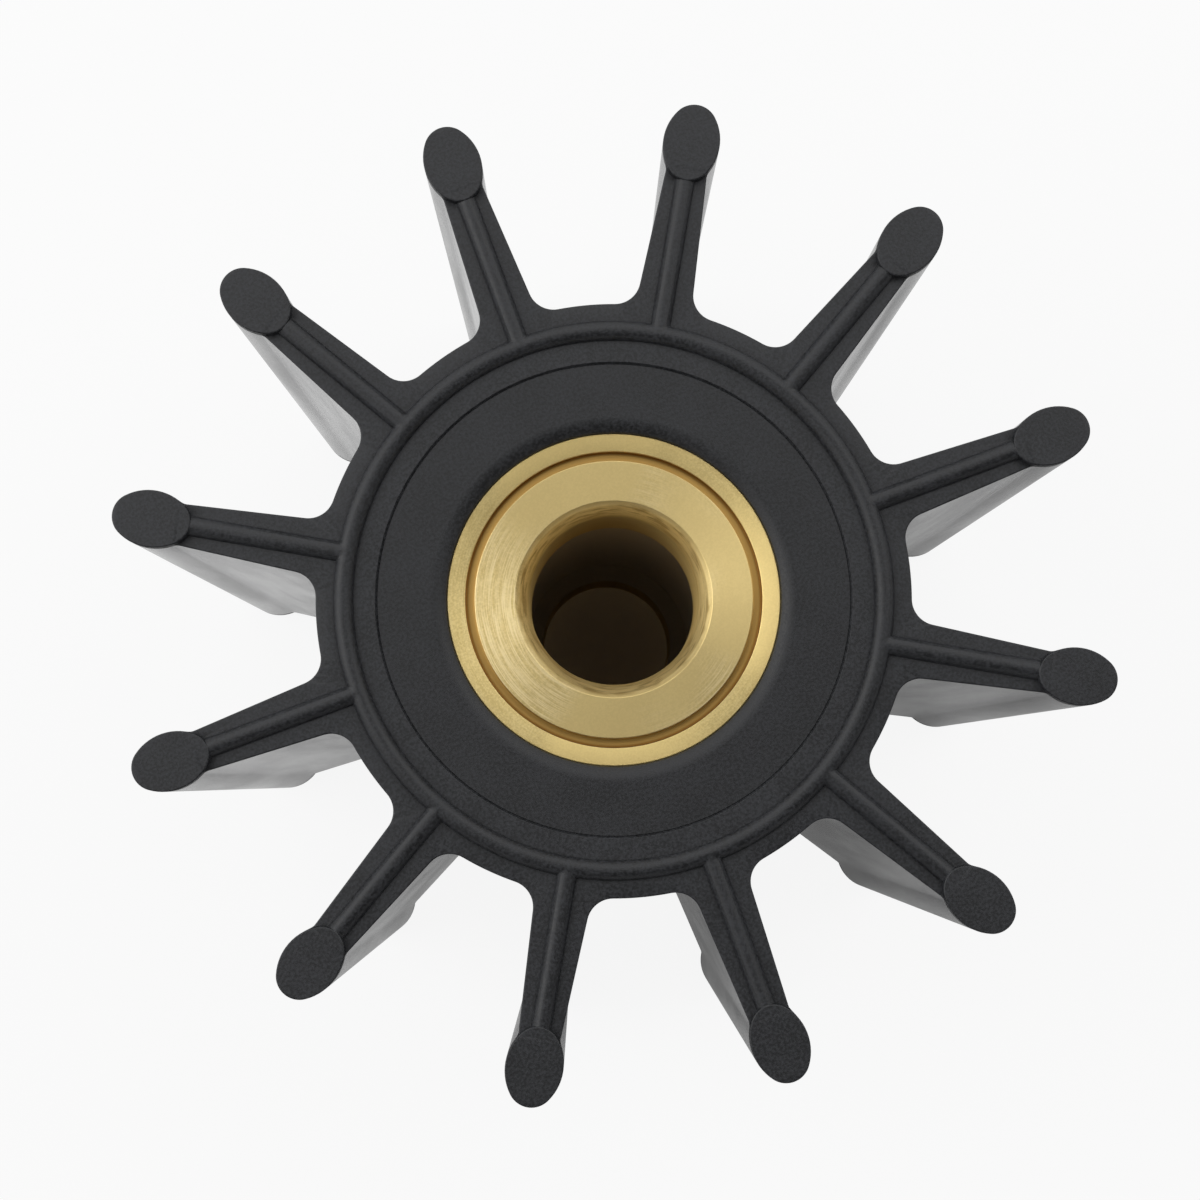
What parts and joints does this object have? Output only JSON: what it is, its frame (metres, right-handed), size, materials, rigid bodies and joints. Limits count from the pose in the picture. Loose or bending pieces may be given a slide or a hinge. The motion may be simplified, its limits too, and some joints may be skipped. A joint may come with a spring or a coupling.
{
  "type": "rubber pump impeller",
  "caption": "Flexible rubber pump impeller: a ring of straight blades with bulbed tips round a hub, moulded on a turned brass bush that is bored for the pump's shaft.",
  "frame": {"origin": "centre of the impeller on the shaft axis, at mid length", "axes": "+Z along the shaft axis, +X along the middle of one blade"},
  "size_m": [0.0952, 0.0952, 0.0888],
  "materials": {
    "rubber": "matt moulded black rubber",
    "brass": "lathe-turned bare brass"
  },
  "bodies": {
    "root": {"rubber_body": "rubber", "brass_bush": "brass"}
  },
  "joints": []
}
